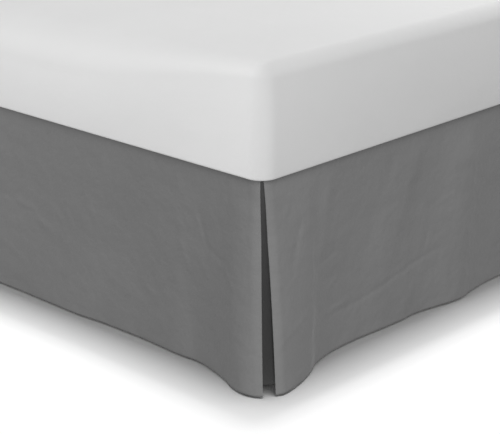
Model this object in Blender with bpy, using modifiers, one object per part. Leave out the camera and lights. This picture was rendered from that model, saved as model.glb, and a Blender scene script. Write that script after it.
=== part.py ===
"""A tailored bed skirt with split foot corners, on the plain bed that carries it.

The skirt is a flat deck between the mattress and the box spring, with a drop sewn along the foot and each
side. Each foot corner is slit, and an underlay hangs behind the slit. Under the box spring is a metal frame.

Metres, +Z up. The foot of the bed is at -Y and the head at +Y. The floor is z = 0.
"""

import math
from collections import namedtuple

import bmesh
import bpy
from mathutils import Matrix

# Bed
BED_WIDTH = 1.52
BED_LENGTH = 2.03
BED_MIDDLE_Y = 0.028  # the flared foot corners reach further than the head end does, which centres the whole
MATTRESS_HEIGHT = 0.210
MATTRESS_CORNER = 0.035
MATTRESS_BOTTOM_EDGE = 0.005
TOP_EDGE_AT_CORNER = 0.030
TOP_EDGE_AT_SIDE = 0.080
EDGE_GROWS_OVER = 0.450  # the distance from a corner over which the top edge grows softer
SIDE_SWELL = 0.004  # how far a mattress side bows out halfway up
LONG_SIDE_SHARE = 0.12  # how much of this softening a long side shows, against the foot and the head
CROWN = 0.026  # how much lower the top edge is along the foot than the middle of the mattress
CROWN_GROWS_OVER = 0.80  # the distance from a corner over which it sinks so far
CROWN_REACH = 0.45  # the share of the way in to the middle over which the top rises again
GAP = 0.0003

# Skirt
DROP = 0.3750
HEM_HEIGHT = 0.003
CLOTH = 0.002
DECK_CLOTH = 0.0015
UNDERLAY_CLOTH = 0.0015
OVERHANG = 0.0075  # the mattress hides the seam at the top of the drops by this much
FOOT_LEAN = 0.0160  # how much further out each hem hangs than its seam, between the folds
SIDE_LEAN = 0.0030
FAR_LEAN = 0.0100
UNDERLAY_SWING = 1.1
EDGE_ROLL = 0.0038  # how far the edge of a drop rolls in beside its slit
EDGE_ROLL_WIDTH = 0.018
FLARE_END = 0.26  # cloth further than this from a slit hangs straight
SLIT = 0.005  # between the two drops at the top of a foot corner

# Box spring and frame
CLEARANCE = 0.0022  # the cloth clears the box spring by this much
BOX_BOTTOM = 0.150
BOX_EDGE = 0.006
RAIL_WIDTH = 0.040
RAIL_HEIGHT = 0.035
RAIL_INSET = 0.030
LEG_RADIUS = 0.020
GLIDE_RADIUS = 0.026
GLIDE_HEIGHT = 0.012
LEG_INSET = 0.060

HALF_WIDTH = BED_WIDTH / 2
FOOT_Y = BED_MIDDLE_Y - BED_LENGTH / 2
HEAD_Y = BED_MIDDLE_Y + BED_LENGTH / 2
SEAM_Z = HEM_HEIGHT + DROP
DECK_TOP = SEAM_Z - GAP
DECK_BOTTOM = DECK_TOP - DECK_CLOTH
BOX_TOP = DECK_BOTTOM - GAP
DROP_INSET = OVERHANG + CLOTH / 2  # from the side of the mattress in to the middle of the cloth
CORNER_ARC = MATTRESS_CORNER - DROP_INSET
DECK_INSET = OVERHANG + CLOTH + GAP
UNDERLAY_INSET = DECK_INSET + UNDERLAY_CLOTH / 2
UNDERLAY_ARC = MATTRESS_CORNER - UNDERLAY_INSET
BOX_INSET = DECK_INSET + UNDERLAY_CLOTH + CLEARANCE

# The hem near a slit: cloth is the distance from the slit along the seam, along is how far the hem lies from
# the mattress corner, and out is how far it stands out from the side of the mattress.
Flare = namedtuple("Flare", "cloth along out")
FOOT_FLARE = (
    Flare(0.000, -0.0440, 0.0485),
    Flare(0.012, -0.0325, 0.0540),
    Flare(0.033, -0.008, 0.0588),
    Flare(0.056, 0.020, 0.0540),
    Flare(0.087, 0.057, 0.0372),
    Flare(0.128, 0.107, 0.0215),
    Flare(0.172, 0.162, 0.0115),
    Flare(0.215, 0.218, 0.0082),
    Flare(FLARE_END, FLARE_END + 0.0167, FOOT_LEAN - DROP_INSET),
)
SIDE_FLARE = (
    Flare(0.000, -0.0235, 0.0590),
    Flare(0.016, -0.006, 0.0612),
    Flare(0.037, 0.019, 0.0578),
    Flare(0.066, 0.052, 0.0472),
    Flare(0.103, 0.093, 0.0295),
    Flare(0.130, 0.123, 0.0160),
    Flare(0.160, 0.157, 0.0062),
    Flare(0.195, 0.198, -0.0015),
    Flare(FLARE_END, FLARE_END + 0.0167, SIDE_LEAN - DROP_INSET),
)
FAR_FLARE = (
    Flare(0.000, -0.036, 0.0520),
    Flare(0.014, -0.020, 0.0580),
    Flare(0.035, 0.006, 0.0590),
    Flare(0.062, 0.038, 0.0490),
    Flare(0.095, 0.075, 0.0330),
    Flare(0.130, 0.117, 0.0185),
    Flare(0.180, 0.178, 0.0070),
    Flare(FLARE_END, FLARE_END + 0.0167, FAR_LEAN - DROP_INSET),
)
UNDERLAY_HEM = (  # here cloth is the distance from the middle of the underlay
    Flare(0.000, -0.0120, 0.0120),
    Flare(0.024, 0.008, 0.0240),
    Flare(0.050, 0.033, 0.0260),
    Flare(0.082, 0.064, 0.0180),
    Flare(0.120, 0.101, 0.0060),
)

# A fold runs down the cloth from along at the seam to along + lean at the hem. It stands out by seam at the
# top and by hem at the bottom, and falls away over near towards the slit and over far on its other side.
Fold = namedtuple("Fold", "along lean near far seam hem")
FOOT_FOLDS = (
    Fold(0.054, 0.040, 0.020, 0.030, 0.0022, 0.0000),
    Fold(0.216, -0.034, 0.034, 0.014, 0.0022, -0.0022),
    Fold(0.232, -0.010, 0.036, 0.050, 0.0006, 0.0052),
    Fold(0.475, 0.012, 0.048, 0.090, 0.0004, 0.0050),
    Fold(0.640, -0.030, 0.060, 0.030, 0.0016, 0.0010),
    Fold(0.740, 0.020, 0.035, 0.060, 0.0005, -0.0020),
    Fold(0.860, -0.020, 0.070, 0.045, 0.0010, 0.0080),
    Fold(1.040, 0.020, 0.060, 0.050, 0.0005, -0.0025),
    Fold(1.210, -0.015, 0.050, 0.050, 0.0010, 0.0060),
)
SIDE_FOLDS = (
    Fold(0.119, 0.006, 0.052, 0.021, 0.0068, 0.0046),
    Fold(0.188, -0.052, 0.024, 0.015, 0.0040, -0.0008),
    Fold(0.330, 0.010, 0.045, 0.060, 0.0012, 0.0018),
    Fold(0.455, -0.165, 0.050, 0.026, 0.0078, 0.0004),
    Fold(0.402, 0.004, 0.080, 0.022, -0.0008, 0.0036),
    Fold(0.524, -0.030, 0.022, 0.022, -0.0020, 0.0004),
    Fold(0.596, -0.030, 0.085, 0.080, 0.0120, 0.0150),
    Fold(0.612, -0.040, 0.060, 0.024, 0.0042, 0.0040),
    Fold(0.682, 0.150, 0.018, 0.030, 0.0040, -0.0010),
    Fold(0.900, 0.020, 0.070, 0.050, 0.0010, 0.0090),
    Fold(1.120, -0.020, 0.045, 0.060, 0.0015, 0.0010),
    Fold(1.330, 0.015, 0.075, 0.045, 0.0015, 0.0110),
    Fold(1.560, -0.010, 0.050, 0.060, 0.0020, 0.0040),
    Fold(1.780, 0.010, 0.070, 0.050, 0.0010, 0.0090),
)
FAR_FOLDS = (
    Fold(0.120, 0.005, 0.040, 0.016, 0.0024, 0.0034),
    Fold(0.340, -0.015, 0.060, 0.045, 0.0020, 0.0060),
    Fold(0.520, 0.020, 0.030, 0.045, 0.0020, -0.0035),
    Fold(0.700, -0.005, 0.075, 0.035, 0.0020, 0.0105),
    Fold(0.960, 0.015, 0.060, 0.060, 0.0010, 0.0040),
    Fold(1.180, -0.020, 0.045, 0.070, 0.0020, 0.0080),
    Fold(1.440, 0.010, 0.060, 0.050, 0.0014, -0.0030),
    Fold(1.660, 0.015, 0.080, 0.050, 0.0015, 0.0095),
)

# A face of the bed: corner is the sharp corner of the mattress that the cloth is measured from, along and out
# are directions on the floor, and end_flare is the flare of the far end, or None where the cloth just ends.
# sweep and swing say how the flare grows down the cloth, along the face and out from it: 1 is evenly, and more
# is late.
Face = namedtuple("Face", "name corner along out length flare end_flare sweep swing folds columns")
FACES = (
    Face(
        name="foot_drop",
        corner=(HALF_WIDTH, FOOT_Y),
        along=(-1, 0),
        out=(0, -1),
        length=BED_WIDTH,
        flare=FOOT_FLARE,
        end_flare=FAR_FLARE,
        sweep=1.20,
        swing=1.10,
        folds=FOOT_FOLDS,
        columns=66,
    ),
    Face(
        name="side_drop_right",
        corner=(HALF_WIDTH, FOOT_Y),
        along=(0, 1),
        out=(1, 0),
        length=BED_LENGTH,
        flare=SIDE_FLARE,
        end_flare=None,
        sweep=1.35,
        swing=1.00,
        folds=SIDE_FOLDS,
        columns=76,
    ),
    Face(
        name="side_drop_left",
        corner=(-HALF_WIDTH, FOOT_Y),
        along=(0, 1),
        out=(-1, 0),
        length=BED_LENGTH,
        flare=FAR_FLARE,
        end_flare=None,
        sweep=1.20,
        swing=1.00,
        folds=FAR_FOLDS,
        columns=68,
    ),
)
DROP_ROWS = 8
UNDERLAY_COLUMNS = 24
UNDERLAY_ROWS = 6

Place = namedtuple("Place", "x y out_x out_y run")
CORNER_STEPS = 6
SIDE_SHARES = (0.05, 0.12, 0.22, 0.50, 0.78, 0.88, 0.95)  # where the mattress has a column of points along a side
BOTTOM_EDGE_STEPS = 3
SIDE_STEPS = 4
TOP_EDGE_STEPS = 7
TOP_SHARES = (0.93, 0.84, 0.72, 0.55)  # the rings on top, from the edge in to the flat middle


def clear_scene():
    for obj in list(bpy.data.objects):
        bpy.data.objects.remove(obj, do_unlink=True)


def make_material(name, colour, roughness, metallic=0.0):
    material = bpy.data.materials.new(name)
    material.use_nodes = True
    shader = material.node_tree.nodes["Principled BSDF"]
    shader.inputs["Base Color"].default_value = (*colour, 1.0)
    shader.inputs["Roughness"].default_value = roughness
    shader.inputs["Metallic"].default_value = metallic
    return material


def add_object(name, mesh, material, collection):
    obj = bpy.data.objects.new(name, mesh)
    mesh.materials.append(material)
    collection.objects.link(obj)
    return obj


def smooth_step(value):
    value = min(1.0, max(0.0, value))
    return value * value * (3 - 2 * value)


def curve_through(rows, cloth):
    """(along, out) at this distance on the smooth curve through a table's rows."""
    last = len(rows) - 1
    k = max(0, min(last - 1, sum(row.cloth <= cloth for row in rows) - 1))
    before, start, end, after = (rows[max(0, min(last, i))] for i in (k - 1, k, k + 1, k + 2))
    span = end.cloth - start.cloth
    t = min(1.0, max(0.0, (cloth - start.cloth) / span))
    point = []
    for field in ("along", "out"):
        y0, y1 = getattr(start, field), getattr(end, field)
        rise_in = (y1 - getattr(before, field)) / (end.cloth - before.cloth) * span
        rise_out = (getattr(after, field) - y0) / (after.cloth - start.cloth) * span
        point.append(
            (2 * t**3 - 3 * t**2 + 1) * y0
            + (t**3 - 2 * t**2 + t) * rise_in
            + (3 * t**2 - 2 * t**3) * y1
            + (t**3 - t**2) * rise_out
        )
    return point


def seam_plan(cloth, arc_radius, inset):
    """(along, out) of a seam that starts at the middle of a corner and runs on along a face."""
    arc = arc_radius * math.pi / 4
    if cloth >= arc:
        return MATTRESS_CORNER + cloth - arc, -inset
    angle = (arc - cloth) / arc_radius
    return (
        MATTRESS_CORNER - arc_radius * math.sin(angle),
        -MATTRESS_CORNER + arc_radius * math.cos(angle),
    )


def drop_seam(cloth):
    """(along, out) of the seam of a drop at this distance from its slit."""
    return seam_plan(cloth + SLIT / 2, CORNER_ARC, DROP_INSET)


def hem_shift(rows, cloth):
    """How far (along, out) the hem hangs from the seam above it."""
    if cloth >= FLARE_END:
        return 0.0, rows[-1].out + DROP_INSET
    seam = drop_seam(cloth)
    hem = curve_through(rows, cloth)
    return hem[0] - seam[0], hem[1] - seam[1]


def fold_height(folds, along, depth):
    """How far the folds stand out at this place, depth being 0 at the seam and 1 at the hem."""
    total = 0.0
    for fold in folds:
        off = along - fold.along - fold.lean * depth
        width = fold.near if off < 0 else fold.far
        total += (fold.seam + (fold.hem - fold.seam) * depth) * math.exp(-((off / width) ** 2))
    return total * smooth_step(depth * 4)


def edge_roll(cloth, depth):
    """How far in the edge of a drop rolls at this distance from its slit."""
    share = max(0.0, 1 - cloth / EDGE_ROLL_WIDTH)
    return EDGE_ROLL * share * share * smooth_step(depth * 3)


def drop_length(face):
    """The length of cloth along the seam of a drop."""
    arc = CORNER_ARC * math.pi / 4
    straight = face.length - MATTRESS_CORNER
    if face.end_flare:
        return straight - MATTRESS_CORNER + 2 * arc - SLIT
    return straight + arc - SLIT / 2 - OVERHANG


def drop_point(face, cloth, depth):
    """A point in the middle of a drop's cloth."""
    nearest = cloth
    from_end = drop_length(face) - cloth
    if face.end_flare and from_end < cloth:
        nearest = from_end
        along, out = drop_seam(from_end)
        shift_along, shift_out = hem_shift(face.end_flare, from_end)
        along, shift_along = face.length - along, -shift_along
    else:
        along, out = drop_seam(cloth)
        shift_along, shift_out = hem_shift(face.flare, cloth)
    out += shift_out * depth**face.swing + fold_height(face.folds, along, depth) - edge_roll(nearest, depth)
    along += shift_along * depth**face.sweep
    return place(face.corner, face.along, face.out, along, out, SEAM_Z - GAP - (DROP - GAP) * depth)


def place(corner, along_way, out_way, along, out, z):
    return (
        corner[0] + along_way[0] * along + out_way[0] * out,
        corner[1] + along_way[1] * along + out_way[1] * out,
        z,
    )


def spread_columns(face):
    """Places along the cloth from 0 to 1, closer together near a slit, where the cloth bends most."""
    crowding = 0.62
    places = []
    for i in range(face.columns + 1):
        t = i / face.columns
        if face.end_flare:
            places.append(t - crowding * math.sin(2 * math.pi * t) / (2 * math.pi))
        else:
            places.append(t - crowding * math.sin(math.pi * t) / math.pi)
    return places


def cloth_sheet(name, columns, rows, point_at, thickness, material, collection):
    """A sheet of cloth: a grid bent to point_at(column share, depth), and given its thickness."""
    shape = bmesh.new()
    bmesh.ops.create_grid(shape, x_segments=len(columns) - 1, y_segments=rows, size=1.0)
    for vert in shape.verts:
        column = round((vert.co.x + 1) / 2 * (len(columns) - 1))
        depth = (1 - vert.co.y) / 2
        vert.co = point_at(columns[column], depth)
    mesh = bpy.data.meshes.new(name)
    shape.to_mesh(mesh)
    shape.free()
    mesh.shade_smooth()
    obj = add_object(name, mesh, material, collection)
    solid = obj.modifiers.new("thickness", "SOLIDIFY")
    solid.thickness = thickness
    solid.offset = 0.0
    solid.use_even_offset = True
    return obj


def make_drops(material, collection):
    for face in FACES:
        whole = drop_length(face)

        def point_at(column, depth, face=face, whole=whole):
            return drop_point(face, column * whole, depth)

        cloth_sheet(face.name, spread_columns(face), DROP_ROWS, point_at, CLOTH, material, collection)


def underlay_point(side, cloth, depth):
    """A point on the underlay of a foot corner. Positive cloth runs along the bed, negative along its foot."""
    seam = seam_plan(abs(cloth), UNDERLAY_ARC, UNDERLAY_INSET)
    hem = curve_through(UNDERLAY_HEM, abs(cloth))
    share = depth**UNDERLAY_SWING
    along, out = (a + (b - a) * share for a, b in zip(seam, hem))
    top = DECK_BOTTOM - GAP
    z = top - (top - HEM_HEIGHT - CLOTH) * depth
    corner = (side * HALF_WIDTH, FOOT_Y)
    if cloth >= 0:
        return place(corner, (0, 1), (side, 0), along, out, z)
    return place(corner, (-side, 0), (0, -1), along, out, z)


def make_underlays(material, collection):
    reach = UNDERLAY_HEM[-1].cloth
    columns = [2 * i / UNDERLAY_COLUMNS - 1 for i in range(UNDERLAY_COLUMNS + 1)]
    for name, side in (("underlay_right", 1), ("underlay_left", -1)):

        def point_at(column, depth, side=side):
            return underlay_point(side, column * reach, depth)

        cloth_sheet(name, columns, UNDERLAY_ROWS, point_at, UNDERLAY_CLOTH, material, collection)


def outline(inset, corner, side_shares):
    """Places round the bed's outline, drawn in by inset. run is the distance from the nearest corner."""
    half_x = BED_WIDTH / 2 - inset - corner
    half_y = BED_LENGTH / 2 - inset - corner
    corners = ((half_x, half_y), (-half_x, half_y), (-half_x, -half_y), (half_x, -half_y))
    places = []
    for quarter, (x, y) in enumerate(corners):
        for i in range(CORNER_STEPS + 1):
            angle = (quarter + i / CORNER_STEPS) * math.pi / 2
            out_x, out_y = math.cos(angle), math.sin(angle)
            places.append(Place(x + corner * out_x, y + corner * out_y, out_x, out_y, 0.0))
        next_x, next_y = corners[(quarter + 1) % 4]
        side = math.hypot(next_x - x, next_y - y)
        start = places[-1]
        for share in side_shares:
            step_x, step_y = (next_x - x) * share, (next_y - y) * share
            run = side * min(share, 1 - share) * (LONG_SIDE_SHARE if quarter % 2 else 1.0)
            places.append(Place(start.x + step_x, start.y + step_y, out_x, out_y, run))
    return places


def stacked_block(name, places, rings_at, material, collection, top_shares=()):
    """A block built of rings, one above the other. rings_at(run) gives each ring's height and how far in it is.

    Where top_shares are given, the rings go on over a crowned top.
    """
    shape = bmesh.new()
    columns = []
    for place in places:
        column = []
        for z, inward in rings_at(place.run):
            x = place.x - place.out_x * inward
            y = place.y - place.out_y * inward
            column.append(shape.verts.new((x, y + BED_MIDDLE_Y, z)))
        for share in top_shares:
            column.append(shape.verts.new((x * share, y * share + BED_MIDDLE_Y, crown_height(place.run, share))))
        columns.append(column)
    for column, following in zip(columns, columns[1:] + columns[:1]):
        for i in range(len(column) - 1):
            shape.faces.new((column[i], following[i], following[i + 1], column[i + 1]))
    shape.faces.new([column[-1] for column in columns])
    shape.faces.new([column[0] for column in reversed(columns)])
    mesh = bpy.data.meshes.new(name)
    shape.to_mesh(mesh)
    shape.free()
    mesh.shade_smooth()
    mesh.set_sharp_from_angle(angle=math.radians(40))
    return add_object(name, mesh, material, collection)


def sunk_edge(run):
    """How much lower the top edge is here than the middle of the mattress."""
    return CROWN * math.sin(min(1.0, run / CROWN_GROWS_OVER) * math.pi / 2)


def crown_height(run, share):
    """The height of the crowned top. share is 1 at its edge and 0 in the middle of the bed."""
    from_flat = max(0.0, (share - 1 + CROWN_REACH) / CROWN_REACH)
    return SEAM_Z + MATTRESS_HEIGHT - sunk_edge(run) * from_flat**2


def mattress_rings(run):
    """Up the side of the mattress. Its top edge is crisper at a corner than along a side."""
    grown = smooth_step(run / EDGE_GROWS_OVER)
    edge = TOP_EDGE_AT_CORNER + (TOP_EDGE_AT_SIDE - TOP_EDGE_AT_CORNER) * grown
    turn = math.pi / 2 - math.atan(2 * sunk_edge(run) / (CROWN_REACH * HALF_WIDTH))
    arc_z = crown_height(run, 1.0) - edge * math.sin(turn)
    rings = []
    for i in range(BOTTOM_EDGE_STEPS + 1):
        angle = i / BOTTOM_EDGE_STEPS * math.pi / 2
        bottom_z = SEAM_Z + MATTRESS_BOTTOM_EDGE * (1 - math.sin(angle))
        rings.append((bottom_z, MATTRESS_BOTTOM_EDGE * (1 - math.cos(angle))))
    rings.reverse()
    low = SEAM_Z + MATTRESS_BOTTOM_EDGE
    for i in range(1, SIDE_STEPS):
        share = i / SIDE_STEPS
        rings.append((low + (arc_z - low) * share, -SIDE_SWELL * 4 * share * (1 - share)))
    for i in range(TOP_EDGE_STEPS + 1):
        angle = i / TOP_EDGE_STEPS * turn
        rings.append((arc_z + edge * math.sin(angle), edge * (1 - math.cos(angle))))
    return rings


def box_rings(run):
    return (
        (BOX_BOTTOM, BOX_EDGE),
        (BOX_BOTTOM + BOX_EDGE * 0.3, BOX_EDGE * 0.3),
        (BOX_BOTTOM + BOX_EDGE, 0.0),
        (BOX_TOP - BOX_EDGE, 0.0),
        (BOX_TOP - BOX_EDGE * 0.3, BOX_EDGE * 0.3),
        (BOX_TOP, BOX_EDGE),
    )


def deck_rings(run):
    return ((DECK_BOTTOM, 0.0), (DECK_TOP, 0.0))


def make_bed(materials, collection):
    around = outline(0.0, MATTRESS_CORNER, SIDE_SHARES)
    stacked_block("mattress", around, mattress_rings, materials["sheet"], collection, TOP_SHARES)
    around = outline(BOX_INSET, MATTRESS_CORNER - BOX_INSET, ())
    stacked_block("box_spring", around, box_rings, materials["ticking"], collection)
    around = outline(DECK_INSET, MATTRESS_CORNER, ())
    stacked_block("deck", around, deck_rings, materials["deck"], collection)


def make_rail(name, centre, size, material, collection):
    bpy.ops.mesh.primitive_cube_add(size=1.0, location=centre)
    rail = bpy.context.object
    rail.name = name
    rail.data.name = name
    rail.data.transform(Matrix.Diagonal((*size, 1.0)))
    rail.data.materials.append(material)
    for owner in list(rail.users_collection):
        owner.objects.unlink(rail)
    collection.objects.link(rail)
    rounding = rail.modifiers.new("rounding", "BEVEL")
    rounding.width = 0.003
    rounding.segments = 2
    return rail


def make_frame(materials, collection):
    """Rails under the box spring, and legs under the rails."""
    steel = materials["steel"]
    rail_z = BOX_BOTTOM - GAP - RAIL_HEIGHT / 2
    side_x = HALF_WIDTH - BOX_INSET - RAIL_INSET - RAIL_WIDTH / 2
    end_y = BED_LENGTH / 2 - BOX_INSET - RAIL_INSET - RAIL_WIDTH / 2
    long_size = (RAIL_WIDTH, 2 * end_y + RAIL_WIDTH, RAIL_HEIGHT)
    for name, x in (("side_rail_right", side_x), ("side_rail_left", -side_x)):
        make_rail(name, (x, BED_MIDDLE_Y, rail_z), long_size, steel, collection)
    cross_size = (2 * side_x - RAIL_WIDTH - 2 * GAP, RAIL_WIDTH, RAIL_HEIGHT)
    for name, y in (("foot_rail", -end_y), ("head_rail", end_y)):
        make_rail(name, (0, BED_MIDDLE_Y + y, rail_z), cross_size, steel, collection)
    centre_size = (RAIL_WIDTH, 2 * end_y - RAIL_WIDTH - 2 * GAP, RAIL_HEIGHT)
    make_rail("centre_rail", (0, BED_MIDDLE_Y, rail_z), centre_size, steel, collection)

    leg_y = BED_LENGTH / 2 - LEG_INSET - RAIL_INSET
    places = {
        "foot_right": (side_x, -leg_y),
        "foot_left": (-side_x, -leg_y),
        "head_right": (side_x, leg_y),
        "head_left": (-side_x, leg_y),
        "middle": (0, 0),
    }
    for name, (x, y) in places.items():
        make_leg(name, (x, BED_MIDDLE_Y + y, 0), materials, collection)


def make_leg(name, foot, materials, collection):
    """A round leg that stands on a wider glide."""
    top = BOX_BOTTOM - RAIL_HEIGHT - 2 * GAP
    leg_profile = ((0.0, top), (LEG_RADIUS, top), (LEG_RADIUS, GLIDE_HEIGHT + GAP), (0.0, GLIDE_HEIGHT + GAP))
    glide_profile = (
        (0.0, GLIDE_HEIGHT),
        (GLIDE_RADIUS - 0.003, GLIDE_HEIGHT),
        (GLIDE_RADIUS, GLIDE_HEIGHT - 0.003),
        (GLIDE_RADIUS, 0.003),
        (GLIDE_RADIUS - 0.003, 0.0),
        (0.0, 0.0),
    )
    make_turned("leg_" + name, foot, leg_profile, materials["steel"], collection)
    make_turned("glide_" + name, foot, glide_profile, materials["glide"], collection)


def make_turned(name, foot, profile, material, collection):
    """A profile, given as (radius, height) from the top down, turned about the leg's middle."""
    points = [(x, 0, z) for x, z in profile]
    mesh = bpy.data.meshes.new(name)
    mesh.from_pydata(points, [(i, i + 1) for i in range(len(points) - 1)], [])
    obj = add_object(name, mesh, material, collection)
    obj.location = foot
    turn = obj.modifiers.new("turn", "SCREW")
    turn.steps = turn.render_steps = 24
    turn.use_merge_vertices = True
    turn.merge_threshold = 0.00005
    return obj


def main():
    clear_scene()
    collection = bpy.data.collections.new("bed_skirt_on_a_bed")
    bpy.context.scene.collection.children.link(collection)
    materials = {
        "skirt": make_material("skirt_cloth", (0.124, 0.124, 0.124), 0.90),
        "deck": make_material("deck_cloth", (0.120, 0.120, 0.120), 0.92),
        "sheet": make_material("sheet_cloth", (0.70, 0.70, 0.70), 0.88),
        "ticking": make_material("ticking", (0.62, 0.61, 0.58), 0.90),
        "steel": make_material("frame_steel", (0.030, 0.030, 0.032), 0.45, 0.6),
        "glide": make_material("glide_plastic", (0.020, 0.020, 0.020), 0.50),
    }
    make_bed(materials, collection)
    make_frame(materials, collection)
    make_underlays(materials["skirt"], collection)
    make_drops(materials["skirt"], collection)


main()
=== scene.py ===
"""Looks of a tailored grey bed skirt on a plain bed, seen at the near foot corner.

Metres, +Z up. The foot of the bed is at -Y and the head at +Y. The floor is z = 0.
"""

import math
from collections import namedtuple

import bmesh
import bpy
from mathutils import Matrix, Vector, noise

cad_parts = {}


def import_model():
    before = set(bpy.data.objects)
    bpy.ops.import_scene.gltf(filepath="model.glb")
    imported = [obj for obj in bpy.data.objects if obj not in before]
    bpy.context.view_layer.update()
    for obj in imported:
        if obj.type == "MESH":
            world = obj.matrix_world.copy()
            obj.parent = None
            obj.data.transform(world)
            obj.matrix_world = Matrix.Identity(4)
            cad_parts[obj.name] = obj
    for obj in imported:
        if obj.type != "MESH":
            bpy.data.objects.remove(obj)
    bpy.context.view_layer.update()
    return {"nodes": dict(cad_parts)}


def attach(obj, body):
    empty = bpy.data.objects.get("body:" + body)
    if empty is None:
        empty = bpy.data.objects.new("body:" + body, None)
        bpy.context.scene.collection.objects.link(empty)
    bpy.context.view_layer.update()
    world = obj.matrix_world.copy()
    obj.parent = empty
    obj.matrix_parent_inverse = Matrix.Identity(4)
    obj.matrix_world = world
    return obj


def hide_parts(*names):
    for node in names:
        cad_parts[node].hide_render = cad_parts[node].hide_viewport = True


# Bed
BED_WIDTH = 1.52
BED_LENGTH = 2.03
BED_MIDDLE_Y = 0.028
MATTRESS_HEIGHT = 0.210
MATTRESS_CORNER = 0.035
MATTRESS_BOTTOM_EDGE = 0.005
TOP_EDGE_AT_CORNER = 0.030
TOP_EDGE_AT_SIDE = 0.080
EDGE_GROWS_OVER = 0.450  # the distance from a corner over which the top edge grows softer
SIDE_SWELL = 0.004  # how far a mattress side bows out halfway up
LONG_SIDE_SHARE = 0.12  # how much of this softening a long side shows, against the foot and the head
CROWN = 0.026  # how much lower the top edge is along the foot than the middle of the mattress
CROWN_GROWS_OVER = 0.80  # the distance from a corner over which it sinks so far
CROWN_REACH = 0.45  # the share of the way in to the middle over which the top rises again
UNEVENNESS = 0.0016  # of the sheet that covers the mattress
EVEN_MIDDLE = 0.40  # the distance from the middle of the top over which it grows
GAP = 0.0003

# Skirt
DROP = 0.3750
HEM_HEIGHT = 0.003
CLOTH = 0.0016
DECK_CLOTH = 0.0015
UNDERLAY_CLOTH = 0.0013
OVERHANG = 0.0075
FOOT_LEAN = 0.0160  # how much further out each hem hangs than its seam, between the folds
SIDE_LEAN = 0.0030
FAR_LEAN = 0.0100
UNDERLAY_SWING = 1.1
EDGE_ROLL = 0.0038  # how far the edge of a drop rolls in beside its slit
EDGE_ROLL_WIDTH = 0.018
FLARE_END = 0.26
SLIT = 0.005
SOLID_CLOTH = 0.002

# Box spring
CLEARANCE = 0.0022
BOX_BOTTOM = 0.150
BOX_EDGE = 0.006

HALF_WIDTH = BED_WIDTH / 2
FOOT_Y = BED_MIDDLE_Y - BED_LENGTH / 2
SEAM_Z = HEM_HEIGHT + DROP
DECK_TOP = SEAM_Z - GAP
DECK_BOTTOM = DECK_TOP - DECK_CLOTH
BOX_TOP = DECK_BOTTOM - GAP
DROP_INSET = OVERHANG + SOLID_CLOTH / 2
CORNER_ARC = MATTRESS_CORNER - DROP_INSET
DECK_INSET = OVERHANG + SOLID_CLOTH + GAP
UNDERLAY_INSET = DECK_INSET + 0.00075
UNDERLAY_ARC = MATTRESS_CORNER - UNDERLAY_INSET
BOX_INSET = DECK_INSET + 0.0015 + CLEARANCE

# Camera: a long lens, from the floor corner of the bed
CAMERA_FROM_CORNER = (2.0161, -2.1707, 1.354)
CAMERA_AZIMUTH = 43.3
CAMERA_ELEVATION = 19.27
CAMERA_LENS = 129.6

ROOM_LIGHT = 0.32

# A distant light: azimuth is from -Y towards +X, and lights names what it falls on.
Sun = namedtuple("Sun", "name azimuth elevation softness strength lights")
SUNS = (
    Sun("key", 45, 15, 40, 0.83, "mattress"),
    Sun("foot", 0, 10, 40, 0.83, "mattress"),
    Sun("far_side", -60, 30, 40, 1.53, "mattress"),
    Sun("head", 180, 35, 40, 0.87, "mattress"),
    Sun("skirt_front", 45, 15, 25, 1.63, "skirt"),
    Sun("skirt_top", 45, 55, 30, 1.55, "skirt"),
    Sun("slit", 45, 15, 10, 0.60, "underlay"),
    Sun("hidden_side", -100, 30, 40, 1.80, "hidden"),
    Sun("hidden_head", 180, 30, 40, 1.20, "hidden"),
)
# A softbox: x and y are from the near foot corner of the bed, and so are aim_x and aim_y.
Softbox = namedtuple("Softbox", "name x y z aim_x aim_y aim_z width length watts lights")
SOFTBOXES = (
    Softbox("mattress_corner", 0.90, -0.30, 0.70, 0.0, 0.1, 0.50, 0.5, 0.5, 2.6, "mattress"),
    Softbox("mattress_back", 0.30, 1.40, 1.50, -0.1, 1.0, 0.58, 0.8, 0.8, 5.0, "mattress"),
    Softbox("foot_low", -1.40, -1.00, 0.80, -0.8, 0.0, 0.20, 0.8, 0.8, 4.8, "skirt"),
    Softbox("corner_low", 1.20, -0.60, 0.80, 0.0, 0.1, 0.20, 0.8, 0.8, 5.0, "skirt"),
    Softbox("side_high", 1.00, 0.10, 1.60, 0.0, 0.1, 0.20, 0.8, 0.8, 3.0, "skirt"),
    Softbox("near_overhead", -0.34, 0.42, 3.50, -0.34, 0.42, 0.0, 0.6, 0.6, 68.0, "floor"),
    Softbox("far_overhead", -0.66, 0.79, 3.50, -0.66, 0.79, 0.0, 0.3, 0.3, 31.0, "floor"),
    Softbox("wide_overhead", -0.86, 0.84, 3.50, -0.86, 0.84, 0.0, 1.0, 1.2, 12.0, "floor"),
)

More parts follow.
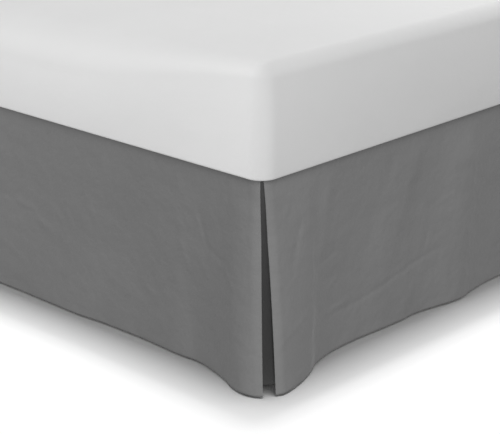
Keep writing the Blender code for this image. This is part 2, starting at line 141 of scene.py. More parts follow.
# The hem near a slit: cloth is the distance from the slit along the seam, along is how far the hem lies from
# the mattress corner, and out is how far it stands out from the side of the mattress.
Flare = namedtuple("Flare", "cloth along out")
FOOT_FLARE = (
    Flare(0.000, -0.0440, 0.0485),
    Flare(0.012, -0.0325, 0.0540),
    Flare(0.033, -0.008, 0.0588),
    Flare(0.056, 0.020, 0.0540),
    Flare(0.087, 0.057, 0.0372),
    Flare(0.128, 0.107, 0.0215),
    Flare(0.172, 0.162, 0.0115),
    Flare(0.215, 0.218, 0.0082),
    Flare(FLARE_END, FLARE_END + 0.0167, FOOT_LEAN - DROP_INSET),
)
SIDE_FLARE = (
    Flare(0.000, -0.0235, 0.0590),
    Flare(0.016, -0.006, 0.0612),
    Flare(0.037, 0.019, 0.0578),
    Flare(0.066, 0.052, 0.0472),
    Flare(0.103, 0.093, 0.0295),
    Flare(0.130, 0.123, 0.0160),
    Flare(0.160, 0.157, 0.0062),
    Flare(0.195, 0.198, -0.0015),
    Flare(FLARE_END, FLARE_END + 0.0167, SIDE_LEAN - DROP_INSET),
)
FAR_FLARE = (
    Flare(0.000, -0.036, 0.0520),
    Flare(0.014, -0.020, 0.0580),
    Flare(0.035, 0.006, 0.0590),
    Flare(0.062, 0.038, 0.0490),
    Flare(0.095, 0.075, 0.0330),
    Flare(0.130, 0.117, 0.0185),
    Flare(0.180, 0.178, 0.0070),
    Flare(FLARE_END, FLARE_END + 0.0167, FAR_LEAN - DROP_INSET),
)
UNDERLAY_HEM = (  # here cloth is the distance from the middle of the underlay
    Flare(0.000, -0.0120, 0.0120),
    Flare(0.024, 0.008, 0.0240),
    Flare(0.050, 0.033, 0.0260),
    Flare(0.082, 0.064, 0.0180),
    Flare(0.120, 0.101, 0.0060),
)

# A fold runs down the cloth from along at the seam to along + lean at the hem. It stands out by seam at the
# top and by hem at the bottom, and falls away over near towards the slit and over far on its other side.
Fold = namedtuple("Fold", "along lean near far seam hem")
FOOT_FOLDS = (
    Fold(0.054, 0.040, 0.020, 0.030, 0.0022, 0.0000),
    Fold(0.216, -0.034, 0.034, 0.014, 0.0022, -0.0022),
    Fold(0.232, -0.010, 0.036, 0.050, 0.0006, 0.0052),
    Fold(0.475, 0.012, 0.048, 0.090, 0.0004, 0.0050),
    Fold(0.640, -0.030, 0.060, 0.030, 0.0016, 0.0010),
    Fold(0.740, 0.020, 0.035, 0.060, 0.0005, -0.0020),
    Fold(0.860, -0.020, 0.070, 0.045, 0.0010, 0.0080),
    Fold(1.040, 0.020, 0.060, 0.050, 0.0005, -0.0025),
    Fold(1.210, -0.015, 0.050, 0.050, 0.0010, 0.0060),
)
SIDE_FOLDS = (
    Fold(0.119, 0.006, 0.052, 0.021, 0.0068, 0.0046),
    Fold(0.188, -0.052, 0.024, 0.015, 0.0040, -0.0008),
    Fold(0.330, 0.010, 0.045, 0.060, 0.0012, 0.0018),
    Fold(0.455, -0.165, 0.050, 0.026, 0.0078, 0.0004),
    Fold(0.402, 0.004, 0.080, 0.022, -0.0008, 0.0036),
    Fold(0.524, -0.030, 0.022, 0.022, -0.0020, 0.0004),
    Fold(0.596, -0.030, 0.085, 0.080, 0.0120, 0.0150),
    Fold(0.612, -0.040, 0.060, 0.024, 0.0042, 0.0040),
    Fold(0.682, 0.150, 0.018, 0.030, 0.0040, -0.0010),
    Fold(0.900, 0.020, 0.070, 0.050, 0.0010, 0.0090),
    Fold(1.120, -0.020, 0.045, 0.060, 0.0015, 0.0010),
    Fold(1.330, 0.015, 0.075, 0.045, 0.0015, 0.0110),
    Fold(1.560, -0.010, 0.050, 0.060, 0.0020, 0.0040),
    Fold(1.780, 0.010, 0.070, 0.050, 0.0010, 0.0090),
)
FAR_FOLDS = (
    Fold(0.120, 0.005, 0.040, 0.016, 0.0024, 0.0034),
    Fold(0.340, -0.015, 0.060, 0.045, 0.0020, 0.0060),
    Fold(0.520, 0.020, 0.030, 0.045, 0.0020, -0.0035),
    Fold(0.700, -0.005, 0.075, 0.035, 0.0020, 0.0105),
    Fold(0.960, 0.015, 0.060, 0.060, 0.0010, 0.0040),
    Fold(1.180, -0.020, 0.045, 0.070, 0.0020, 0.0080),
    Fold(1.440, 0.010, 0.060, 0.050, 0.0014, -0.0030),
    Fold(1.660, 0.015, 0.080, 0.050, 0.0015, 0.0095),
)

# A fine crease in a drop: a line from (along, drop) to (end_along, end_drop), drop being the distance below
# the seam. It stands out by height, and falls away over near on the slit's side and over far on the other.
Crease = namedtuple("Crease", "along drop end_along end_drop near far height")
FOOT_CREASES = (
    Crease(0.735, 0.180, 0.672, 0.184, 0.006, 0.006, -0.0010),
    Crease(0.690, 0.184, 0.600, 0.192, 0.007, 0.005, 0.0012),
    Crease(0.684, 0.200, 0.660, 0.290, 0.005, 0.005, -0.0010),
    Crease(0.740, 0.272, 0.648, 0.306, 0.007, 0.008, 0.0010),
    Crease(0.620, 0.198, 0.552, 0.230, 0.006, 0.009, 0.0014),
    Crease(0.562, 0.156, 0.520, 0.190, 0.005, 0.006, -0.0010),
    Crease(0.524, 0.136, 0.504, 0.212, 0.004, 0.007, 0.0012),
    Crease(0.472, 0.108, 0.426, 0.194, 0.005, 0.006, 0.0010),
    Crease(0.438, 0.224, 0.420, 0.266, 0.004, 0.005, -0.0008),
    Crease(0.304, 0.266, 0.258, 0.280, 0.005, 0.005, 0.0009),
    Crease(0.218, 0.146, 0.188, 0.210, 0.006, 0.004, 0.0009),
    Crease(0.170, 0.076, 0.144, 0.160, 0.008, 0.005, -0.0014),
    Crease(0.150, 0.146, 0.098, 0.166, 0.005, 0.006, -0.0009),
    Crease(0.104, 0.164, 0.066, 0.208, 0.005, 0.006, 0.0009),
)
SIDE_CREASES = (
    Crease(0.536, 0.249, 0.236, 0.304, 0.005, 0.005, -0.0015),
    Crease(0.290, 0.297, 0.170, 0.306, 0.006, 0.005, -0.0009),
    Crease(0.262, 0.286, 0.176, 0.293, 0.005, 0.005, 0.0009),
    Crease(0.122, 0.254, 0.032, 0.286, 0.007, 0.006, 0.0014),
    Crease(0.220, 0.230, 0.176, 0.250, 0.005, 0.005, 0.0010),
    Crease(0.218, 0.178, 0.148, 0.192, 0.007, 0.006, -0.0010),
    Crease(0.164, 0.350, 0.042, 0.362, 0.007, 0.006, 0.0012),
    Crease(0.100, 0.078, 0.062, 0.190, 0.010, 0.007, -0.0015),
    Crease(0.482, 0.200, 0.456, 0.284, 0.007, 0.006, -0.0010),
    Crease(0.392, 0.124, 0.334, 0.154, 0.007, 0.006, 0.0009),
    Crease(0.556, 0.148, 0.498, 0.164, 0.006, 0.005, 0.0008),
    Crease(0.444, 0.302, 0.400, 0.368, 0.010, 0.009, 0.0014),
    Crease(0.078, 0.050, 0.040, 0.082, 0.006, 0.005, 0.0009),
)
FAR_CREASES = (
    Crease(0.480, 0.230, 0.180, 0.320, 0.007, 0.007, 0.0014),
    Crease(0.900, 0.120, 0.760, 0.260, 0.010, 0.008, 0.0014),
    Crease(0.300, 0.080, 0.240, 0.210, 0.009, 0.006, -0.0012),
    Crease(1.260, 0.150, 1.120, 0.210, 0.008, 0.010, 0.0012),
    Crease(1.520, 0.240, 1.400, 0.330, 0.008, 0.007, -0.0010),
)

Face = namedtuple("Face", "name corner along out length flare end_flare sweep swing folds creases columns")
FACES = (
    Face(
        name="foot_drop",
        corner=(HALF_WIDTH, FOOT_Y),
        along=(-1, 0),
        out=(0, -1),
        length=BED_WIDTH,
        flare=FOOT_FLARE,
        end_flare=FAR_FLARE,
        sweep=1.20,
        swing=1.10,
        folds=FOOT_FOLDS,
        creases=FOOT_CREASES,
        columns=380,
    ),
    Face(
        name="side_drop_right",
        corner=(HALF_WIDTH, FOOT_Y),
        along=(0, 1),
        out=(1, 0),
        length=BED_LENGTH,
        flare=SIDE_FLARE,
        end_flare=None,
        sweep=1.35,
        swing=1.00,
        folds=SIDE_FOLDS,
        creases=SIDE_CREASES,
        columns=460,
    ),
    Face(
        name="side_drop_left",
        corner=(-HALF_WIDTH, FOOT_Y),
        along=(0, 1),
        out=(-1, 0),
        length=BED_LENGTH,
        flare=FAR_FLARE,
        end_flare=None,
        sweep=1.20,
        swing=1.00,
        folds=FAR_FOLDS,
        creases=FAR_CREASES,
        columns=360,
    ),
)
DROP_ROWS = 100
DROP_CROWDING = 0.62  # how much closer together the columns are near a slit than far from it
UNDERLAY_COLUMNS = 90
UNDERLAY_ROWS = 50

Place = namedtuple("Place", "x y out_x out_y run")
BLOCK_CROWDING = 0.6  # how much closer together the places are near a corner than far from it
CORNER_STEPS = 14
LONG_SIDE_STEPS = 70
SHORT_SIDE_STEPS = 54
BOTTOM_EDGE_STEPS = 5
SIDE_STEPS = 14
TOP_EDGE_STEPS = 12
TOP_SHARES = (0.985, 0.96, 0.92, 0.86, 0.78, 0.68, 0.56, 0.42, 0.26, 0.10)


def smooth_step(value):
    value = min(1.0, max(0.0, value))
    return value * value * (3 - 2 * value)


# Cloth shapes


def curve_through(rows, cloth):
    """(along, out) at this distance on the smooth curve through a table's rows."""
    last = len(rows) - 1
    k = max(0, min(last - 1, sum(row.cloth <= cloth for row in rows) - 1))
    before, start, end, after = (rows[max(0, min(last, i))] for i in (k - 1, k, k + 1, k + 2))
    span = end.cloth - start.cloth
    t = min(1.0, max(0.0, (cloth - start.cloth) / span))
    point = []
    for field in ("along", "out"):
        y0, y1 = getattr(start, field), getattr(end, field)
        rise_in = (y1 - getattr(before, field)) / (end.cloth - before.cloth) * span
        rise_out = (getattr(after, field) - y0) / (after.cloth - start.cloth) * span
        point.append(
            (2 * t**3 - 3 * t**2 + 1) * y0
            + (t**3 - 2 * t**2 + t) * rise_in
            + (3 * t**2 - 2 * t**3) * y1
            + (t**3 - t**2) * rise_out
        )
    return point


def seam_plan(cloth, arc_radius, inset):
    """(along, out) of a seam that starts at the middle of a corner and runs on along a face."""
    arc = arc_radius * math.pi / 4
    if cloth >= arc:
        return MATTRESS_CORNER + cloth - arc, -inset
    angle = (arc - cloth) / arc_radius
    return (
        MATTRESS_CORNER - arc_radius * math.sin(angle),
        -MATTRESS_CORNER + arc_radius * math.cos(angle),
    )


def drop_seam(cloth):
    """(along, out) of the seam of a drop at this distance from its slit."""
    return seam_plan(cloth + SLIT / 2, CORNER_ARC, DROP_INSET)


def hem_shift(rows, cloth):
    """How far (along, out) the hem hangs from the seam above it."""
    if cloth >= FLARE_END:
        return 0.0, rows[-1].out + DROP_INSET
    seam = drop_seam(cloth)
    hem = curve_through(rows, cloth)
    return hem[0] - seam[0], hem[1] - seam[1]


def fold_height(folds, along, depth):
    """How far the folds stand out at this place, depth being 0 at the seam and 1 at the hem."""
    total = 0.0
    for fold in folds:
        off = along - fold.along - fold.lean * depth
        width = fold.near if off < 0 else fold.far
        if abs(off) < 3 * width:
            total += (fold.seam + (fold.hem - fold.seam) * depth) * math.exp(-((off / width) ** 2))
    return total * smooth_step(depth * 4)


def crease_height(creases, along, drop):
    """How far the fine creases stand out at this place."""
    total = 0.0
    for crease in creases:
        run_along = crease.end_along - crease.along
        run_down = crease.end_drop - crease.drop
        length = math.hypot(run_along, run_down)
        from_along, from_down = along - crease.along, drop - crease.drop
        share = (from_along * run_along + from_down * run_down) / length**2
        if not 0 < share < 1:
            continue
        across = (from_along * run_down - from_down * run_along) / length
        width = crease.near if across < 0 else crease.far
        if abs(across) < 3 * width:
            fade = math.sin(math.pi * share) ** 0.7
            total += crease.height * fade * math.exp(-((across / width) ** 2))
    return total


def edge_roll(cloth, depth):
    """How far in the edge of a drop rolls at this distance from its slit."""
    share = max(0.0, 1 - cloth / EDGE_ROLL_WIDTH)
    return EDGE_ROLL * share * share * smooth_step(depth * 3)


def drop_length(face):
    """The length of cloth along the seam of a drop."""
    arc = CORNER_ARC * math.pi / 4
    straight = face.length - MATTRESS_CORNER
    if face.end_flare:
        return straight - MATTRESS_CORNER + 2 * arc - SLIT
    return straight + arc - SLIT / 2 - OVERHANG


def place_at(corner, along_way, out_way, along, out, z):
    return (
        corner[0] + along_way[0] * along + out_way[0] * out,
        corner[1] + along_way[1] * along + out_way[1] * out,
        z,
    )


def drop_column(face, cloth):
    """The points of one column of a drop's cloth, from the seam to the hem."""
    nearest = cloth
    from_end = drop_length(face) - cloth
    if face.end_flare and from_end < cloth:
        nearest = from_end
        along, out = drop_seam(from_end)
        shift_along, shift_out = hem_shift(face.end_flare, from_end)
        along, shift_along = face.length - along, -shift_along
    else:
        along, out = drop_seam(cloth)
        shift_along, shift_out = hem_shift(face.flare, cloth)
    points = []
    for i in range(DROP_ROWS + 1):
        depth = i / DROP_ROWS
        stand = fold_height(face.folds, along, depth) - edge_roll(nearest, depth)
        stand += crease_height(face.creases, along, depth * DROP)
        here_out = out + shift_out * depth**face.swing + stand
        here_along = along + shift_along * depth**face.sweep
        z = SEAM_Z - GAP - (DROP - GAP) * depth
        points.append(place_at(face.corner, face.along, face.out, here_along, here_out, z))
    return points


def spread_columns(face):
    """Places along the cloth from 0 to 1, closer together near a slit, where the cloth bends most."""
    places = []
    for i in range(face.columns + 1):
        t = i / face.columns
        if face.end_flare:
            places.append(t - DROP_CROWDING * math.sin(2 * math.pi * t) / (2 * math.pi))
        else:
            places.append(t - DROP_CROWDING * math.sin(math.pi * t) / math.pi)
    return places


def cloth_from_columns(name, columns, sizes, thickness, material):
    """A sheet of cloth through columns of points. sizes gives each column's place on the flat cloth."""
    shape = bmesh.new()
    flat = shape.loops.layers.uv.new("flat_cloth")
    rows = len(columns[0])
    verts = [[shape.verts.new(point) for point in column] for column in columns]
    for i in range(len(columns) - 1):
        for j in range(rows - 1):
            corners = ((i, j), (i, j + 1), (i + 1, j + 1), (i + 1, j))
            face = shape.faces.new([verts[a][b] for a, b in corners])
            for loop, (a, b) in zip(face.loops, corners):
                loop[flat].uv = (sizes[a], DROP * (1 - b / (rows - 1)))
    shape.normal_update()
    mesh = bpy.data.meshes.new(name)
    shape.to_mesh(mesh)
    shape.free()
    mesh.shade_smooth()
    obj = bpy.data.objects.new(name, mesh)
    mesh.materials.append(material)
    bpy.context.scene.collection.objects.link(obj)
    solid = obj.modifiers.new("thickness", "SOLIDIFY")
    solid.thickness = thickness
    solid.offset = 0.0
    solid.use_even_offset = True
    return obj


def make_drops(material):
    for face in FACES:
        whole = drop_length(face)
        sizes = [share * whole for share in spread_columns(face)]
        columns = [drop_column(face, cloth) for cloth in sizes]
        drop = cloth_from_columns("cloth_" + face.name, columns, sizes, CLOTH, material)
        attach(drop, "root")
        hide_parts(face.name)


def underlay_column(side, cloth):
    seam = seam_plan(abs(cloth), UNDERLAY_ARC, UNDERLAY_INSET)
    hem = curve_through(UNDERLAY_HEM, abs(cloth))
    top = DECK_BOTTOM - GAP
    corner = (side * HALF_WIDTH, FOOT_Y)
    points = []
    for i in range(UNDERLAY_ROWS + 1):
        depth = i / UNDERLAY_ROWS
        share = depth**UNDERLAY_SWING
        along, out = (a + (b - a) * share for a, b in zip(seam, hem))
        z = top - (top - HEM_HEIGHT - SOLID_CLOTH) * depth
        if cloth >= 0:
            points.append(place_at(corner, (0, 1), (side, 0), along, out, z))
        else:
            points.append(place_at(corner, (-side, 0), (0, -1), along, out, z))
    return points


def make_underlays(material):
    reach = UNDERLAY_HEM[-1].cloth
    sizes = [reach * (2 * i / UNDERLAY_COLUMNS - 1) for i in range(UNDERLAY_COLUMNS + 1)]
    for name, side in (("underlay_right", 1), ("underlay_left", -1)):
        columns = [underlay_column(side, cloth) for cloth in sizes]
        underlay = cloth_from_columns("cloth_" + name, columns, sizes, UNDERLAY_CLOTH, material)
        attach(underlay, "root")
        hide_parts(name)


# Blocks: mattress, box spring, deck


def outline(inset, corner, corner_steps, short_steps, long_steps):
    """Places round the bed's outline, drawn in by inset.

    run is the distance from the nearest corner, or on a long side the share of it that counts there.
    """
    half_x = BED_WIDTH / 2 - inset - corner
    half_y = BED_LENGTH / 2 - inset - corner
    corners = ((half_x, half_y), (-half_x, half_y), (-half_x, -half_y), (half_x, -half_y))
    places = []
    for quarter, (x, y) in enumerate(corners):
        for i in range(corner_steps + 1):
            angle = (quarter + i / corner_steps) * math.pi / 2
            out_x, out_y = math.cos(angle), math.sin(angle)
            places.append(Place(x + corner * out_x, y + corner * out_y, out_x, out_y, 0.0))
        next_x, next_y = corners[(quarter + 1) % 4]
        side = math.hypot(next_x - x, next_y - y)
        start = places[-1]
        steps = long_steps if quarter % 2 else short_steps
        for i in range(1, steps):
            share = i / steps - BLOCK_CROWDING * math.sin(2 * math.pi * i / steps) / (2 * math.pi)
            step_x, step_y = (next_x - x) * share, (next_y - y) * share
            run = side * min(share, 1 - share)
            if quarter % 2:
                run *= LONG_SIDE_SHARE
            places.append(Place(start.x + step_x, start.y + step_y, out_x, out_y, run))
    return places


def stacked_block(name, places, rings_at, material, top_shares=()):
    """A block built of rings, one above the other.

    rings_at(run) gives each ring's height and how far in it is. Where top_shares are given, the rings go on
    over a crowned top and close in its middle.
    """
    shape = bmesh.new()
    columns = []
    for place in places:
        column = []
        for z, inward in rings_at(place.run):
            x = place.x - place.out_x * inward
            y = place.y - place.out_y * inward
            column.append(shape.verts.new((x, y + BED_MIDDLE_Y, z)))
        for share in top_shares:
            top_z = crown_height(place.run, share)
            column.append(shape.verts.new((x * share, y * share + BED_MIDDLE_Y, top_z)))
        columns.append(column)
    next_columns = columns[1:] + columns[:1]
    for column, following in zip(columns, next_columns):
        for i in range(len(column) - 1):
            shape.faces.new((column[i], following[i], following[i + 1], column[i + 1]))
    if top_shares:
        middle = shape.verts.new((0.0, BED_MIDDLE_Y, crown_height(0.0, 0.0)))
        for column, following in zip(columns, next_columns):
            shape.faces.new((column[-1], following[-1], middle))
    else:
        shape.faces.new([column[-1] for column in columns])
    shape.faces.new([column[0] for column in reversed(columns)])
    mesh = bpy.data.meshes.new(name)
    shape.to_mesh(mesh)
    shape.free()
    mesh.shade_smooth()
    mesh.set_sharp_from_angle(angle=math.radians(50))
    obj = bpy.data.objects.new(name, mesh)
    mesh.materials.append(material)
    bpy.context.scene.collection.objects.link(obj)
    return obj


def sunk_edge(run):
    """How much lower the top edge is here than the middle of the mattress."""
    return CROWN * math.sin(min(1.0, run / CROWN_GROWS_OVER) * math.pi / 2)


def crown_height(run, share):
    """The height of the crowned top. share is 1 at its edge and 0 in the middle of the bed."""
    from_flat = max(0.0, (share - 1 + CROWN_REACH) / CROWN_REACH)
    return SEAM_Z + MATTRESS_HEIGHT - sunk_edge(run) * from_flat**2


def mattress_rings(run):
    """Up the side of the mattress. Its top edge is crisper at a corner than along the foot."""
    grown = smooth_step(run / EDGE_GROWS_OVER)
    edge = TOP_EDGE_AT_CORNER + (TOP_EDGE_AT_SIDE - TOP_EDGE_AT_CORNER) * grown
    turn = math.pi / 2 - math.atan(2 * sunk_edge(run) / (CROWN_REACH * HALF_WIDTH))
    arc_z = crown_height(run, 1.0) - edge * math.sin(turn)
    rings = []
    for i in range(BOTTOM_EDGE_STEPS + 1):
        angle = i / BOTTOM_EDGE_STEPS * math.pi / 2
        bottom_z = SEAM_Z + MATTRESS_BOTTOM_EDGE * (1 - math.sin(angle))
        rings.append((bottom_z, MATTRESS_BOTTOM_EDGE * (1 - math.cos(angle))))
    rings.reverse()
    low = SEAM_Z + MATTRESS_BOTTOM_EDGE
    for i in range(1, SIDE_STEPS):
        share = i / SIDE_STEPS
        rings.append((low + (arc_z - low) * share, -SIDE_SWELL * 4 * share * (1 - share)))
    for i in range(TOP_EDGE_STEPS + 1):
        angle = i / TOP_EDGE_STEPS * turn
        rings.append((arc_z + edge * math.sin(angle), edge * (1 - math.cos(angle))))
    return rings


def box_rings(run):
    return (
        (BOX_BOTTOM, BOX_EDGE),
        (BOX_BOTTOM + BOX_EDGE * 0.1, BOX_EDGE * 0.6),
        (BOX_BOTTOM + BOX_EDGE * 0.3, BOX_EDGE * 0.3),
        (BOX_BOTTOM + BOX_EDGE * 0.6, BOX_EDGE * 0.1),
        (BOX_BOTTOM + BOX_EDGE, 0.0),
        (BOX_TOP - BOX_EDGE, 0.0),
        (BOX_TOP - BOX_EDGE * 0.6, BOX_EDGE * 0.1),
        (BOX_TOP - BOX_EDGE * 0.3, BOX_EDGE * 0.3),
        (BOX_TOP - BOX_EDGE * 0.1, BOX_EDGE * 0.6),
        (BOX_TOP, BOX_EDGE),
    )


def deck_rings(run):
    return ((DECK_BOTTOM, 0.0), (DECK_TOP, 0.0))


def make_mattress(material):
    around = outline(0.0, MATTRESS_CORNER, CORNER_STEPS, SHORT_SIDE_STEPS, LONG_SIDE_STEPS)
    mattress = stacked_block("soft_mattress", around, mattress_rings, material, TOP_SHARES)
    soften(mattress)
    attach(mattress, "root")
    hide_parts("mattress")


def soften(mattress):
    """Gives the sheet-covered sides their slight, slow unevenness."""
    for vert in mattress.data.vertices:
        above = vert.co.z - SEAM_Z
        if above < MATTRESS_BOTTOM_EDGE:
            continue
        slow = noise.noise(Vector((vert.co.x * 4.0, vert.co.y * 4.0, vert.co.z * 7.0)))
        side_share = smooth_step(above / 0.04)
        from_middle = math.hypot(vert.co.x, vert.co.y - BED_MIDDLE_Y)
        vert.co += vert.normal * UNEVENNESS * slow * side_share * smooth_step(from_middle / EVEN_MIDDLE)


def make_box_spring(material):
    around = outline(BOX_INSET, MATTRESS_CORNER - BOX_INSET, 10, 8, 10)
    box = stacked_block("covered_box_spring", around, box_rings, material)
    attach(box, "root")
    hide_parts("box_spring")


def make_deck(material):
    around = outline(DECK_INSET, MATTRESS_CORNER, 10, 8, 10)
    deck = stacked_block("cloth_deck", around, deck_rings, material)
    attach(deck, "root")
    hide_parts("deck")


# Materials


class Surface:
    """A Principled material under construction."""

    def __init__(self, name, roughness):
        self.material = bpy.data.materials.new(name)
        self.material.use_nodes = True
        self.tree = self.material.node_tree
        self.shader = self.tree.nodes["Principled BSDF"]
        self.shader.inputs["Roughness"].default_value = roughness
        self.coordinates = self.add("ShaderNodeTexCoord")

    def add(self, kind, **settings):
        node = self.tree.nodes.new(kind)
        for key, value in settings.items():
            setattr(node, key, value)
        return node

    def link(self, output, socket):
        self.tree.links.new(output, socket)

    def mottle(self, name, scale, detail):
        """Noise over the object's own coordinates, as an output from 0 to 1."""
        texture = self.add("ShaderNodeTexNoise", label=name)
        texture.inputs["Scale"].default_value = scale
        texture.inputs["Detail"].default_value = detail
        self.link(self.coordinates.outputs["Object"], texture.inputs["Vector"])
        return texture.outputs["Fac"]

    def colours(self, factor, dark, light):
        ramp = self.add("ShaderNodeValToRGB")
        ramp.color_ramp.elements[0].position = 0.3
        ramp.color_ramp.elements[0].color = (*dark, 1.0)
        ramp.color_ramp.elements[1].position = 0.7
        ramp.color_ramp.elements[1].color = (*light, 1.0)
        self.link(factor, ramp.inputs["Fac"])
        self.link(ramp.outputs["Color"], self.shader.inputs["Base Color"])

    def roughness_range(self, factor, low, high):
        spread = self.add("ShaderNodeMapRange")
        spread.inputs["To Min"].default_value = low
        spread.inputs["To Max"].default_value = high
        self.link(factor, spread.inputs["Value"])
        self.link(spread.outputs["Result"], self.shader.inputs["Roughness"])

    def sheen(self, weight, roughness):
        self.shader.inputs["Sheen Weight"].default_value = weight
        self.shader.inputs["Sheen Roughness"].default_value = roughness

    def bump(self, height, strength, distance, under=None):
        node = self.add("ShaderNodeBump")
        node.inputs["Strength"].default_value = strength
        node.inputs["Distance"].default_value = distance
        self.link(height, node.inputs["Height"])
        if under is not None:
            self.link(under, node.inputs["Normal"])
        return node.outputs["Normal"]

    def threads(self, vector, pitch):
        """Threads crossing over and under, as an output from 0 to 1."""
        waves = []
        for direction in ("X", "Y"):
            wave = self.add("ShaderNodeTexWave", bands_direction=direction, wave_profile="SIN")
            wave.inputs["Scale"].default_value = 0.314 / pitch
            wave.inputs["Distortion"].default_value = 0.4
            wave.inputs["Detail Scale"].default_value = 2.0
            self.link(vector, wave.inputs["Vector"])
            waves.append(wave.outputs["Fac"])
        cross = self.add("ShaderNodeMath", operation="MULTIPLY")
        self.link(waves[0], cross.inputs[0])
        self.link(waves[1], cross.inputs[1])
        return cross.outputs["Value"]

    def finish(self, normal):
        self.link(normal, self.shader.inputs["Normal"])
        return self.material


def brushed_cloth(name, dark, light):
    """Grey brushed microfibre: a fine weave under a soft nap."""
    surface = Surface(name, 0.88)
    surface.colours(surface.mottle("slow shade", 5.0, 4.0), dark, light)
    surface.roughness_range(surface.mottle("nap", 60.0, 3.0), 0.82, 0.94)
    surface.sheen(0.12, 0.45)
    weave = surface.threads(surface.coordinates.outputs["UV"], 0.0009)
    fine = surface.bump(weave, 0.25, 0.0002)
    crumple = surface.bump(surface.mottle("faint crumple", 30.0, 4.0), 1.0, 0.0036, fine)
    return surface.finish(crumple)


def white_cotton():
    surface = Surface("white_cotton", 0.85)
    surface.colours(surface.mottle("slow shade", 3.0, 3.0), (0.690, 0.690, 0.690), (0.715, 0.715, 0.715))
    surface.roughness_range(surface.mottle("worn weave", 80.0, 2.0), 0.80, 0.92)
    surface.sheen(0.15, 0.5)
    weave = surface.bump(surface.mottle("percale", 900.0, 2.0), 0.2, 0.0002)
    crumple = surface.bump(surface.mottle("faint crumple", 22.0, 4.0), 0.5, 0.0024, weave)
    return surface.finish(crumple)


def ticking_cloth():
    surface = Surface("woven_ticking", 0.88)
    surface.colours(surface.mottle("slub", 40.0, 4.0), (0.56, 0.55, 0.52), (0.63, 0.62, 0.59))
    surface.roughness_range(surface.mottle("weave shade", 120.0, 2.0), 0.84, 0.94)
    coarse = surface.bump(surface.mottle("slub relief", 300.0, 3.0), 0.35, 0.0006)
    return surface.finish(coarse)


def deck_cloth():
    surface = Surface("deck_microfibre", 0.90)
    surface.colours(surface.mottle("slow shade", 5.0, 4.0), (0.112, 0.112, 0.112), (0.128, 0.128, 0.128))
    surface.sheen(0.2, 0.45)
    return surface.finish(surface.bump(surface.mottle("weave", 500.0, 2.0), 0.3, 0.0004))


def coated_steel():
    surface = Surface("powder_coated_steel", 0.45)
    surface.colours(surface.mottle("dust", 9.0, 4.0), (0.022, 0.022, 0.024), (0.034, 0.034, 0.036))
    surface.roughness_range(surface.mottle("handling", 22.0, 4.0), 0.38, 0.56)
    surface.shader.inputs["Metallic"].default_value = 0.1
    return surface.finish(surface.bump(surface.mottle("orange peel", 420.0, 2.0), 0.3, 0.0003))


def glide_plastic():
    surface = Surface("moulded_glide", 0.55)
    surface.colours(surface.mottle("scuffs", 120.0, 4.0), (0.018, 0.018, 0.018), (0.032, 0.032, 0.032))
    surface.roughness_range(surface.mottle("rubbed", 60.0, 3.0), 0.48, 0.70)
    return surface.finish(surface.bump(surface.mottle("moulded grain", 700.0, 2.0), 0.25, 0.0003))


def dress_frame(frame):
    steel = coated_steel()
    glide = glide_plastic()
    for name, obj in frame["nodes"].items():
        if name.startswith("leg_") or name.endswith("_rail") or name.startswith("side_rail"):
            for holder in obj.material_slots:
                holder.material = steel
        elif name.startswith("glide_"):
            for holder in obj.material_slots:
                holder.material = glide


# Camera, floor and light


def make_camera():
    camera = bpy.data.cameras.new("camera")
    camera.lens = CAMERA_LENS
    camera.sensor_width = 36.0
    camera.sensor_fit = "HORIZONTAL"
    camera.clip_end = 100.0
    camera.dof.use_dof = False
    holder = bpy.data.objects.new("camera", camera)
    bpy.context.scene.collection.objects.link(holder)
    x, y, z = CAMERA_FROM_CORNER
    holder.location = (HALF_WIDTH + x, FOOT_Y + y, z)
    holder.rotation_euler = (math.radians(90 - CAMERA_ELEVATION), 0.0, math.radians(CAMERA_AZIMUTH))
    bpy.context.scene.camera = holder


def make_floor():
    mesh = bpy.data.meshes.new("floor")
    side = 30.0
    mesh.from_pydata(
        [(-side, -side, 0), (side, -side, 0), (side, side, 0), (-side, side, 0)], [], [(0, 1, 2, 3)]
    )
    floor = bpy.data.objects.new("floor", mesh)
    bpy.context.scene.collection.objects.link(floor)
    material = bpy.data.materials.new("pale_floor")
    material.use_nodes = True
    shader = material.node_tree.nodes["Principled BSDF"]
    shader.inputs["Base Color"].default_value = (0.95, 0.95, 0.95, 1.0)
    shader.inputs["Roughness"].default_value = 1.0
    shader.inputs["Specular IOR Level"].default_value = 0.0
    mesh.materials.append(material)
    floor.visible_diffuse = False
    return floor


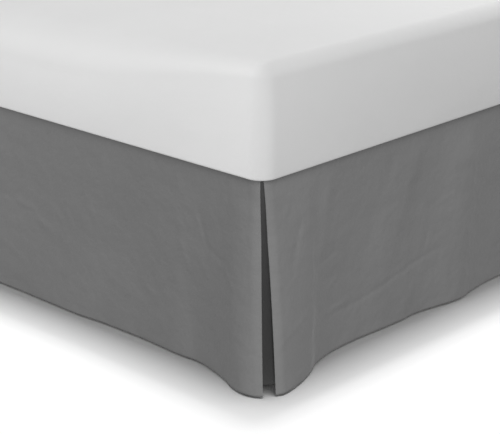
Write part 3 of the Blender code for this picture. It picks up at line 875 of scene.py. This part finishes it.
def softbox(row, lights):
    light = bpy.data.lights.new(row.name, "AREA")
    light.shape = "RECTANGLE"
    light.size, light.size_y = row.width, row.length
    light.energy = row.watts
    holder = bpy.data.objects.new(row.name, light)
    bpy.context.scene.collection.objects.link(holder)
    place = Vector((HALF_WIDTH + row.x, FOOT_Y + row.y, row.z))
    aim = Vector((HALF_WIDTH + row.aim_x, FOOT_Y + row.aim_y, row.aim_z))
    holder.location = place
    holder.rotation_euler = (aim - place).to_track_quat("-Z", "Y").to_euler()
    holder.light_linking.receiver_collection = lights


def sun(row, lights):
    light = bpy.data.lights.new(row.name, "SUN")
    light.energy = row.strength
    light.angle = math.radians(row.softness)
    holder = bpy.data.objects.new(row.name, light)
    bpy.context.scene.collection.objects.link(holder)
    holder.rotation_euler = (math.radians(90 - row.elevation), 0.0, math.radians(row.azimuth))
    holder.light_linking.receiver_collection = lights


def make_light(groups):
    """A white room, with soft lights on the mattress, on the skirt and, from over the bed, on the floor."""
    world = bpy.data.worlds.new("studio")
    world.use_nodes = True
    background = world.node_tree.nodes["Background"]
    background.inputs["Color"].default_value = (1.0, 1.0, 1.0, 1.0)
    background.inputs["Strength"].default_value = ROOM_LIGHT
    bpy.context.scene.world = world
    for row in SUNS:
        sun(row, groups[row.lights])
    for row in SOFTBOXES:
        softbox(row, groups[row.lights])
    bpy.context.scene.view_settings.view_transform = "Standard"


def lit_group(name, objects):
    group = bpy.data.collections.new(name)
    for obj in objects:
        group.objects.link(obj)
    return group


def main():
    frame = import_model()
    make_camera()
    floor = make_floor()
    skirt = brushed_cloth("grey_microfibre", (0.119, 0.119, 0.119), (0.129, 0.129, 0.129))
    make_mattress(white_cotton())
    make_box_spring(ticking_cloth())
    make_deck(deck_cloth())
    make_underlays(skirt)
    make_drops(skirt)
    dress_frame(frame)
    shown = [obj for obj in bpy.context.scene.objects if obj.type == "MESH" and obj is not floor]
    white = [obj for obj in shown if obj.name == "soft_mattress"]
    shaded = [obj for obj in shown if "underlay" in obj.name]
    dark = [obj for obj in shown if obj not in white and obj not in shaded]
    hidden = [obj for obj in dark if obj.name not in ("cloth_foot_drop", "cloth_side_drop_right")]
    groups = {"mattress": white, "skirt": dark, "underlay": shaded, "hidden": hidden, "floor": [floor]}
    make_light({name: lit_group(name, objects) for name, objects in groups.items()})


main()
